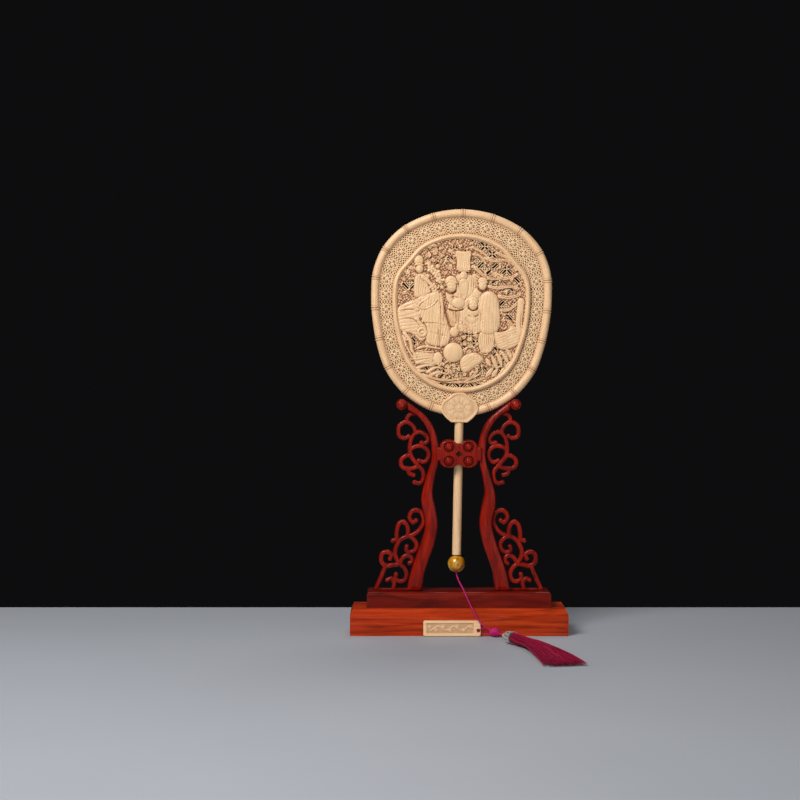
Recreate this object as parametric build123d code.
from build123d import *
import math
import os

# Carved openwork palace fan, resting in a two-post rosewood stand, with its bead, cord, plaque and tassel.
# Millimetres. X runs to the right along the stand, Y to the back, Z up. The origin is on the table, under the middle
# of the stand. The fan is drawn upright and leans by FAN_LEAN about the holder when it is placed.

# ---- driving dimensions ----
FAN_LEAN = 1.06  # degrees, top towards +X
HOLDER_Z = 199.0  # middle of the holder that the handle passes through
LEAN_AXIS = Axis((0, 0, HOLDER_Z), (0, 1, 0))

RIM_WIDTH = 9.0
RIM_HALF_DEPTH = 4.5
RIM_JOINTS = 20  # bamboo nodes carved around the rim
PANEL_HALF = 1.5  # half the thickness of the pierced panel
PANEL_REBATE = 4.0  # how far the panel's edge lies inside the rim's outer edge
FRAME_WIDTH = 5.5
FRAME_TOP = 5.2  # how far the field's frame stands out from the fan's middle plane
MEDALLION_TOP = 6.0
HANDLE_RADIUS = 4.9
HANDLE_TOP = 233.6
HANDLE_FOOT = 86.4
BEAD_RADIUS = 9.7
BEAD_GAP = 0.3
BEAD_Z = HANDLE_FOOT - BEAD_GAP - BEAD_RADIUS
CORE_RADIUS = 0.95

PLINTH = (240.0, 60.0, 30.0)
PLINTH_FACE = 22.8  # height of the plinth's upright face, under its bevel
PLINTH_INSET = 3.2
STEP = (203.0, 45.0, 17.0)
STEP_TOP = PLINTH[2] + STEP[2]
POST_HALF_DEPTH = 11.0
BRACKET_HALF_DEPTH = 3.5
STROKE = 4.5  # width of the bracket's scrolls
VOLUTE = (63.2, 253.6)
VOLUTE_RADIUS = 6.0
HOLDER_GAP = 10.0  # from the middle plane to each holder plate, so that the bead passes
HOLDER_THICK = 3.5
ROUNDEL = (10.8, 7.8)  # from the holder's middle to the middle of each roundel
LOBE = (10.2, 7.4)  # half width and half height of the oval lobe round each roundel

CORD_RADIUS = 0.9
CAP_START = Vector(47.0, -70.0, 7.4)
CAP_END = Vector(56.0, -89.0, 7.4)

# Right halves of the outlines: the height of the top, then arcs as (radius, turn in degrees) on the way down to the
# bottom, a negative radius curving the other way. One more arc closes each outline.
RIM = (469.6, [(120.2, 30.1), (79.8, 57), (235.5, 20.2)])
FIELD = (442.7, [(83.2, 29.6), (43.2, 21.7), (-407, 2.8), (39.5, 37.4), (168.7, 26.2), (60.6, 29.4)])
# The stand's right post: its inner and outer edges from the step up to the volute.
POST_INNER = [(40.7, STEP_TOP), (37.1, 70), (27.5, 98), (23.4, 119), (25.3, 136.7), (28.8, 155), (26.8, 172),
              (21.9, 193), (21.8, 205), (24.2, 218.5), (29.6, 231.6), (37.4, 241.6), (46.6, 249), (57.6, 257)]
POST_OUTER = [(57.8, STEP_TOP), (51.8, 71.7), (40.7, 104), (36.9, 123), (41.4, 147), (37.1, 169.3), (30.2, 192),
              (30.2, 206.1), (31.8, 218), (36.6, 229.6), (45.2, 240.4), (56.2, 247.6)]
# The right brackets' scrolls, each a smooth line through its points, from the root of the scroll to its eye.
UPPER_SCROLLS = [
    [(44, 243), (53, 243), (57, 239), (57, 234)],
    [(48, 222), (49, 227), (53, 232), (59, 234), (66, 229), (66, 219), (60, 216), (55.5, 218)],
    [(48, 222), (52, 216), (54, 208), (53, 197), (46, 187), (40, 180), (39, 172), (43, 166), (49, 167)],
    [(48, 222), (43, 223), (37, 220), (34, 214), (37, 210.5), (41, 211)],
    [(53, 204), (47, 207), (40, 207), (34, 202), (33.5, 195), (38, 189.5), (44, 191)],
    [(53, 197), (59, 196), (64, 191), (62, 184), (54, 182), (44, 185)],
    [(56, 182), (54.5, 177), (50, 175)],
]
LOWER_SCROLLS = [
    [(55, 107), (48, 110), (42, 116), (38.5, 125), (42, 134), (50, 135.5), (54.5, 129), (51, 122.5), (47, 124.5)],
    [(57, 107), (56, 113), (57.5, 119.5), (61.5, 123), (66.5, 120), (68.5, 112), (69, 104), (73, 102)],
    [(55, 107), (50, 104), (46.5, 98), (48.5, 91.5), (54, 89), (58, 91.5), (57.5, 95.5)],
    [(56, 107), (63, 104), (68, 98), (70.5, 90), (69, 82), (65, 76)],
    [(65, 76), (62.5, 82), (57.5, 85.5), (52.5, 83.5), (51.5, 79), (54.5, 77)],
    [(65, 76), (73, 75), (80, 74), (85.5, 79), (85, 87), (79, 89.5), (74.5, 86.5), (76, 82)],
    [(65, 76), (60.5, 72), (57.5, 65), (60, 58), (65.5, 56.5), (70, 60), (69.5, 64.5)],
    [(81, 74), (85, 64), (88.5, 56), (92, STEP_TOP + 1)],
    [(79, 58), (74.5, 59.5), (71.5, 55), (73, STEP_TOP + 1)],
]
# The free cord's route: out of the bead, over the step and the plinth, through the knot to the tassel's cap.
CORD_ROUTE = [(-2.5, 0, 66.3), (-1.2, -3, 60.6), (1.4, -8.6, 55.8), (2.8, -15.6, 53.6), (4, -22.6, 52.4),
              (6.8, -28.2, 46), (10.6, -32, 37.6), (15, -34.8, 28.2), (19.8, -36.2, 19.4), (26.8, -36.6, 11.4),
              (35.6, -36.4, 6.4), (43.4, -39.8, 4.6), (47.4, -47.6, 3.8), (47.2, -57, 5), tuple(CAP_START)]
KNOT_MIDDLE = (38.6, -37.4, 5.6)
KNOT_HALF = (7.2, 5.0)  # along the cord, and across it


def half_outline(shape, inward):
    """The right half of an outline as arcs, or of the line a fixed distance inside it."""
    top, turns = shape
    x, z, heading = 0.0, top, 0.0
    arcs = []
    for step_number in range(len(turns) + 1):
        if step_number < len(turns):
            radius, degrees = turns[step_number]
            end = heading + math.copysign(math.radians(degrees), radius)
        else:
            radius, end = x / math.sin(heading), math.pi
        cx, cz = x - radius * math.sin(heading), z - radius * math.cos(heading)
        reach = radius - inward
        arcs.append(ThreePointArc(*[(cx + reach * math.sin(a), cz + reach * math.cos(a))
                                    for a in (heading, (heading + end) / 2, end)]))
        x, z, heading = cx + radius * math.sin(end), cz + radius * math.cos(end), end
    return arcs


def outline_wire(shape, inward=0.0):
    """The closed outline, clockwise from its top."""
    right = half_outline(shape, inward)
    left = []
    for arc in reversed(right):
        points = [arc @ 1, arc @ 0.5, arc @ 0]
        left.append(ThreePointArc(*[(-p.X, p.Y) for p in points]))
    return Wire(right + left)


def outline_face(shape, inward=0.0):
    return make_face(outline_wire(shape, inward))


def upright(sketch, front, back):
    """A flat drawing stood up as (x, z) and given thickness from Y = front to Y = back."""
    return extrude(Plane.XZ.offset(-back) * sketch, amount=back - front)


def face_edges(solid, y):
    """The edges that lie in the plane at this Y."""
    return solid.edges().filter_by_position(Axis.Y, y - 1e-3, y + 1e-3)


def turned(solid):
    """The same piece for the fan's other face."""
    return solid.rotate(Axis.Z, 180)


def mirrored(solid):
    return solid.mirror(Plane.YZ)


def on_rim(t):
    """Place on the rim's outer edge, as a share of the way round, and its direction in degrees."""
    wire = outline_wire(RIM)
    along = wire.tangent_at(t)
    return wire.position_at(t), math.degrees(math.atan2(along.Y, along.X))


# ---- fan ----
def medallion_face():
    """The cloud-edged plate over the joint of rim and handle."""
    dome = ThreePointArc((-12.4, 261), (0, 267.3), (12.4, 261))
    right = Spline((12.4, 261), (18.6, 256.5), (20.9, 247.5), (16, 239.6), (9, HANDLE_TOP))
    left = Spline((-9, HANDLE_TOP), (-16, 239.6), (-20.9, 247.5), (-18.6, 256.5), (-12.4, 261))
    return make_face([dome, right, Line((9, HANDLE_TOP), (-9, HANDLE_TOP)), left])


def medallion():
    plate = upright(medallion_face(), -MEDALLION_TOP, -PANEL_HALF)
    plate = fillet(face_edges(plate, -MEDALLION_TOP), 1.0)
    plate -= upright(outline_face(FIELD), -2 * MEDALLION_TOP, 0)
    flower = Sketch() + [Pos(4.6 * math.cos(a), 250 + 4.6 * math.sin(a)) * Circle(3)
                         for a in (math.radians(90 + 72 * i) for i in range(5))]
    return plate + upright(flower, -MEDALLION_TOP - 0.5, -MEDALLION_TOP)


def rim():
    """One half-round bamboo moulding of the rim, with a rebate for the panel and a seat for the medallion."""
    ring = outline_face(RIM) - outline_face(RIM, RIM_WIDTH)
    moulding = upright(ring, -RIM_HALF_DEPTH, 0)
    moulding = fillet(face_edges(moulding, -RIM_HALF_DEPTH), 3.2)
    swell = 0.5
    thick = outline_face(RIM, -swell) - outline_face(RIM, RIM_WIDTH + swell)
    bands = upright(thick, -RIM_HALF_DEPTH - swell, 0)
    bands = fillet(face_edges(bands, -RIM_HALF_DEPTH - swell), 3.2)
    cutters = Sketch()
    for i in range(RIM_JOINTS):
        place, angle = on_rim(i / RIM_JOINTS)
        cutters += Pos(place.X, place.Y) * Rot(0, 0, angle) * Rectangle(4.4, 3 * RIM_WIDTH)
    moulding += bands & upright(cutters, -RIM_HALF_DEPTH - 2 * swell, 0)
    moulding -= upright(outline_face(RIM, PANEL_REBATE), -PANEL_HALF, 0)
    return moulding - upright(medallion_face(), -MEDALLION_TOP, 0)


def tenon_face():
    return Pos(0, (HANDLE_TOP + 262) / 2) * Rectangle(7, 262 - HANDLE_TOP)


def lattice_panel():
    """The pierced sheet that fills the rim: rosettes around the border, a trellis behind the field."""
    sheet = outline_face(RIM, PANEL_REBATE)
    outer = outline_wire(RIM)
    inner = outline_wire(FIELD)
    holes = Sketch()
    rosettes = 34
    petal = Pos(3.2, 0) * Rot(0, 0, 45) * Rectangle(2.6, 2.6)
    for i in range(1, rosettes):
        edge, middle = outer.position_at(i / rosettes), inner.position_at(i / rosettes)
        toward = (middle - edge).normalized()
        centre = edge + toward * ((middle - edge).length + RIM_WIDTH) / 2
        if centre.Y < 268 and abs(centre.X) < 26:
            continue
        angle = math.degrees(math.atan2(toward.Y, toward.X))
        for turn in range(0, 360, 90):
            holes += Pos(centre.X, centre.Y) * Rot(0, 0, angle + turn) * petal
    pitch = 11.0
    for row in range(-8, 9):
        for column in range(-7, 8):
            x = (column + 0.5 * (row % 2)) * pitch
            z = 354 + row * pitch
            if math.hypot(x / 64, (z - 354) / 76) < 1:
                holes += Pos(x, z) * Rot(0, 0, 45) * Rectangle(4.2, 4.2)
    return upright(sheet - holes - tenon_face(), -PANEL_HALF, PANEL_HALF)


def field_frame():
    """The raised moulding round the carved field."""
    ring = outline_face(FIELD) - outline_face(FIELD, FRAME_WIDTH)
    frame = upright(ring, -FRAME_TOP, -PANEL_HALF)
    return fillet(face_edges(frame, -FRAME_TOP), 1.6)


def relief():
    """The carved scene as broad masses on a pierced ground: three robed figures among clouds, leaves and rocks."""
    ground = outline_face(FIELD, FRAME_WIDTH)
    windows = [(-12, 418, 4), (24, 412, 6), (36, 404, 5), (45, 392, 5), (52, 378, 4.5), (44, 366, 3), (50, 354, 3),
               (-54, 388, 4), (-46, 402, 3.5), (-34, 412, 3.5), (-40, 346, 3), (4, 330, 3.5), (14, 322, 3),
               (30, 300, 4.5), (-58, 350, 2.5), (44, 330, 3), (56, 340, 2.5), (-30, 300, 3)]
    for x, z, size in windows:
        ground -= Pos(x, z) * Rot(0, 0, 45) * Rectangle(1.6 * size, 1.6 * size)
    carving = upright(ground, -3.0, -PANEL_HALF)
    masses = [  # middle x, middle z, half width, half height, height above the panel
        (4, 414, 7, 7, 4.0), (4, 402, 6, 8, 4.2), (3, 376, 15, 24, 3.4), (-38, 400, 5, 9, 3.8),
        (-34, 368, 19, 20, 3.6), (-46, 345, 15, 10, 3.2), (-8, 356, 10, 26, 3.0), (33, 358, 15, 24, 4.0),
        (60, 352, 5, 24, 3.0), (-5, 312, 10.5, 10.5, 4.4), (14, 298, 9, 11, 3.6), (-34, 316, 17, 8, 3.0),
        (46, 316, 14, 10, 3.0), (-22, 424, 14, 6, 2.8), (30, 426, 15, 5, 2.8), (-58, 368, 8, 14, 2.8)]
    for x, z, half_width, half_height, height in masses:
        blob = upright(Pos(x, z) * Ellipse(half_width, half_height), -PANEL_HALF - height, -PANEL_HALF)
        carving += fillet(face_edges(blob, -PANEL_HALF - height), 1.0)
    return carving & upright(outline_face(FIELD, FRAME_WIDTH), -FRAME_TOP - 1, -PANEL_HALF)


def handle():
    """A round rod with a flat tenon that goes up between the medallions."""
    rod = Pos(0, 0, HANDLE_FOOT) * Cylinder(HANDLE_RADIUS, HANDLE_TOP - HANDLE_FOOT,
                                            align=(Align.CENTER, Align.CENTER, Align.MIN))
    tenon = upright(tenon_face(), -PANEL_HALF, PANEL_HALF)
    socket = Pos(0, 0, HANDLE_FOOT + 5) * Cylinder(CORE_RADIUS, 10)
    return rod + tenon - socket - handle_peg()


def handle_peg():
    return Pos(0, 0, 250) * Rot(90, 0, 0) * Cylinder(1.2, 2 * PANEL_HALF)


def cord_core():
    """The end of the cord, through the bead and glued into the handle's foot."""
    length = 2 * BEAD_RADIUS + BEAD_GAP + 9.5
    return Pos(0, 0, BEAD_Z - BEAD_RADIUS + length / 2) * Cylinder(CORE_RADIUS, length)


def bead():
    return Pos(0, 0, BEAD_Z) * (Sphere(BEAD_RADIUS) - Cylinder(CORE_RADIUS + 0.1, 3 * BEAD_RADIUS))


# ---- tail ----
def cord():
    """The free cord as straight runs joined by tangent arcs."""
    points = [Vector(*p) for p in CORD_ROUTE]
    radii = []
    for before, here, after in zip(points, points[1:], points[2:]):
        turn = math.radians((here - before).get_angle(after - here))
        run = min((here - before).length, (after - here).length)
        radii.append(0.45 * run / math.tan(turn / 2))
    print("cord radii", [round(r, 1) for r in radii])
    path = FilletPolyline(*points, radius=radii)
    tube = sweep(Plane(origin=path @ 0, z_dir=path % 0) * Circle(CORD_RADIUS), path=path)
    print("cord length", round(path.length, 2))
    print("cord volume over section times length", tube.volume / (math.pi * CORD_RADIUS**2 * path.length))
    return tube


def plaque_tilt(solid):
    """Leans the plaque back until its top edge meets the plinth."""
    return Pos(0, -32.5, 0) * Rot(-7.9, 0, 0) * solid


def plaque():
    """A carved tablet standing on its long edge against the plinth, with a hole for its loop."""
    face = Pos(-8, 8.7) * RectangleRounded(63, 17.4, 2) - Pos(21, 6.3) * Circle(1.9)
    tablet = upright(face, -4, 0)
    panel = Pos(-10, 8.7) * RectangleRounded(52, 11.4, 1.5)
    return plaque_tilt(tablet - upright(panel, -4, -3.4))


def plaque_loop():
    """The ring of cord that ties the plaque to the knot."""
    left, right, half = 23.7, 31.0, 3.1
    top = Line((left, half), (right, half))
    bottom = Line((right, -half), (left, -half))
    ring = Wire([top, ThreePointArc((right, half), (right + half, 0), (right, -half)), bottom,
                 ThreePointArc((left, -half), (left - half, 0), (left, half))])
    section = Plane(origin=ring @ 0, z_dir=ring % 0) * Circle(0.6)
    return Pos(0, -33.9, 6) * sweep(section, path=ring)


def knot(tube, loop):
    half_length, radius = KNOT_HALF
    middle = Rot(0, 90, 0) * Cylinder(radius, 2 * (half_length - radius))
    ends = [Pos(side * (half_length - radius), 0, 0) * Sphere(radius) for side in (-1, 1)]
    return Pos(*KNOT_MIDDLE) * Rot(0, 0, -14) * (middle + ends) - tube - loop


def tassel_cap(tube):
    """A bell of thin silver, lying on its side, mouth towards the tassel."""
    length = (CAP_END - CAP_START).length
    mouth = 7.2
    profile = Spline((2.6, 0), (3, 4), (6, 8), (6.8, 15), (mouth, length))
    bell = revolve(make_face([profile, Line((mouth, length), (0, length)), Line((0, length), (0, 0)),
                              Line((0, 0), (2.6, 0))]), Axis.Y)
    return Plane(origin=CAP_START, z_dir=CAP_END - CAP_START) * Rot(90, 0, 0) * bell - tube


def tassel_skirt():
    """The silk threads as one flattened, spreading bundle on the table."""
    sections = [  # x, y, half width, half height
        (56, -89, 6.4, 6.4), (64, -99, 9.5, 6.2), (75, -115, 13.5, 5.6), (84, -141, 17, 4.6), (92, -177, 20.5, 3.6),
        (99, -222, 24, 2.8)]
    middles = [Vector(x, y, CAP_END.Z if i == 0 else h) for i, (x, y, _, h) in enumerate(sections)]
    faces = []
    for i, (_, _, half_width, half_height) in enumerate(sections):
        ahead = middles[min(i + 1, len(middles) - 1)] - middles[max(i - 1, 0)]
        if i == 0:
            ahead = CAP_END - CAP_START
        across = Plane(origin=middles[i], x_dir=Vector(-ahead.Y, ahead.X, 0), z_dir=Vector(ahead.X, ahead.Y, 0))
        faces.append(across * Ellipse(half_width, half_height))
    return loft(faces, ruled=True)


# ---- stand ----
def post_drawing():
    inner = Spline(*POST_INNER)
    outer = Spline(*reversed(POST_OUTER))
    ribbon = make_face([inner, Line(POST_INNER[-1], POST_OUTER[-1]), outer, Line(POST_OUTER[0], POST_INNER[0])])
    return ribbon + Pos(*VOLUTE) * Circle(VOLUTE_RADIUS)


def post():
    return upright(post_drawing(), -POST_HALF_DEPTH, POST_HALF_DEPTH)


def bracket(scrolls):
    """Fretwork scrolls outside a post, cut to meet the post's edge."""
    drawing = Sketch()
    for points in scrolls:
        drawing += trace(Spline(*points), line_width=STROKE)
        for x, z in (points[0], points[-1]):
            drawing += Pos(x, z) * Circle(0.56 * STROKE)
    return upright(drawing - post_drawing(), -BRACKET_HALF_DEPTH, BRACKET_HALF_DEPTH)


def lower_bracket():
    strip = Pos(74.5, STEP_TOP + 0.9) * Rectangle(38, 1.8)
    below = Pos(74.5, STEP_TOP - 10) * Rectangle(80, 20)
    foot = upright(strip - post_drawing(), -BRACKET_HALF_DEPTH, BRACKET_HALF_DEPTH)
    return bracket(LOWER_SCROLLS) + foot - upright(below, -BRACKET_HALF_DEPTH, BRACKET_HALF_DEPTH)


def roundels():
    return [(i * ROUNDEL[0], HOLDER_Z + j * ROUNDEL[1]) for i in (-1, 1) for j in (-1, 1)]


def holder():
    """The front quatrefoil plate, let a little into both posts, with a dished ring in each roundel."""
    drawing = Pos(0, HOLDER_Z) * Rectangle(50, 14.5) + Pos(0, HOLDER_Z) * Rectangle(18, 24)
    drawing += [Pos(*place) * Ellipse(*LOBE) for place in roundels()]
    front = -HOLDER_GAP - HOLDER_THICK
    plate = upright(drawing, front, -HOLDER_GAP)
    for place in roundels():
        plate -= upright(Pos(*place) * (Circle(5.6) - Circle(4.4)), front, front + 0.8)
        plate -= upright(Pos(*place) * Circle(3.2), front, front + 1.2)
    return plate - upright(Pos(0, HOLDER_Z) * Circle(1.3), front, front + 1.5)


def dome(x, z, seat, radius):
    """A domed knob let into a front face at Y = seat."""
    stud = Pos(0, 0, 0.4) * Cylinder(radius, 3.2)
    return Pos(x, seat, z) * Rot(90, 0, 0) * fillet(stud.edges().group_by(Axis.Z)[-1], 1.7)


def plinth():
    slab = extrude(Rectangle(PLINTH[0], PLINTH[1]), amount=PLINTH_FACE)
    rise = PLINTH[2] - PLINTH_FACE
    slope = math.degrees(math.atan2(PLINTH_INSET, rise))
    return slab + extrude(Pos(0, 0, PLINTH_FACE) * Rectangle(PLINTH[0], PLINTH[1]), amount=rise, taper=slope)


def step():
    slab = Pos(0, 0, PLINTH[2]) * Box(*STEP, align=(Align.CENTER, Align.CENTER, Align.MIN))
    return fillet(slab.edges().group_by(Axis.Z)[-1], 3.0)


def post_dowels():
    middle = (POST_INNER[0][0] + POST_OUTER[0][0]) / 2
    return [Pos(side * middle, y, STEP_TOP - 5) * Cylinder(2.5, 34) for side in (-1, 1) for y in (-5.5, 5.5)]


def step_screws():
    """Countersunk wood screws that hold the step down from under the plinth."""
    head = Pos(0, 0, 2.5) * Cone(4.0, 2.0, 3.0)
    return [Pos(x, y, 0) * (head + Pos(0, 0, 20) * Cylinder(2.0, 32)) for x in (-80, 80) for y in (-12, 12)]


def save(name, shape):
    solids = shape if isinstance(shape, list) else shape.solids()
    solids = [s for piece in solids for s in piece.solids()]
    print(name, len(solids), "solids", round(sum(s.volume for s in solids)), "mm3")
    export_step(solids[0] if len(solids) == 1 else Compound(children=solids), f"parts/{name}.step")


def on_fan(shape):
    return shape.rotate(LEAN_AXIS, FAN_LEAN)


def main():
    os.makedirs("parts", exist_ok=True)

    fan = {"rim_front": rim(), "field_frame_front": field_frame(), "relief_front": relief(),
           "medallion_front": medallion() - upright(Pos(0, 250) * Circle(1.2), -PANEL_HALF, PANEL_HALF)}
    for name in list(fan):
        fan[name.replace("front", "back")] = turned(fan[name])
    fan["relief_back"] = fan["relief_front"].mirror(Plane.XZ)  # the carving is pierced right through
    fan |= {"lattice_panel": lattice_panel(), "handle": handle(), "handle_peg": handle_peg(),
            "cord_core": cord_core(), "bead": bead()}
    for name, shape in fan.items():
        save(name, on_fan(shape))

    tube = cord()
    loop = plaque_loop()
    save("cord", tube)
    save("knot", knot(tube, loop))
    save("plaque", plaque())
    save("plaque_loop", loop)
    save("tassel_cap", tassel_cap(tube))
    save("tassel_skirt", tassel_skirt())

    plates = holder(), turned(holder())
    dowels = post_dowels()
    screws = step_screws()
    front = -HOLDER_GAP - HOLDER_THICK
    holder_bosses = [dome(x, z, front, 3.2) for x, z in roundels()]
    volute_bosses = [dome(side * VOLUTE[0], VOLUTE[1], -POST_HALF_DEPTH, 3.6) for side in (-1, 1)]
    right = post() - plates[0] - plates[1] - dowels - volute_bosses - [turned(b) for b in volute_bosses]
    save("post_right", right)
    save("post_left", mirrored(right))
    save("bracket_upper_right", bracket(UPPER_SCROLLS))
    save("bracket_upper_left", mirrored(bracket(UPPER_SCROLLS)))
    save("bracket_lower_right", lower_bracket())
    save("bracket_lower_left", mirrored(lower_bracket()))
    save("holder_front", plates[0])
    save("holder_back", plates[1])
    save("holder_bosses", holder_bosses + [turned(b) for b in holder_bosses])
    save("volute_bosses", volute_bosses + [turned(b) for b in volute_bosses])
    save("plinth", plinth() - dowels - screws)
    save("step", step() - dowels - screws)
    save("post_dowels", dowels)
    save("step_screws", screws)


main()
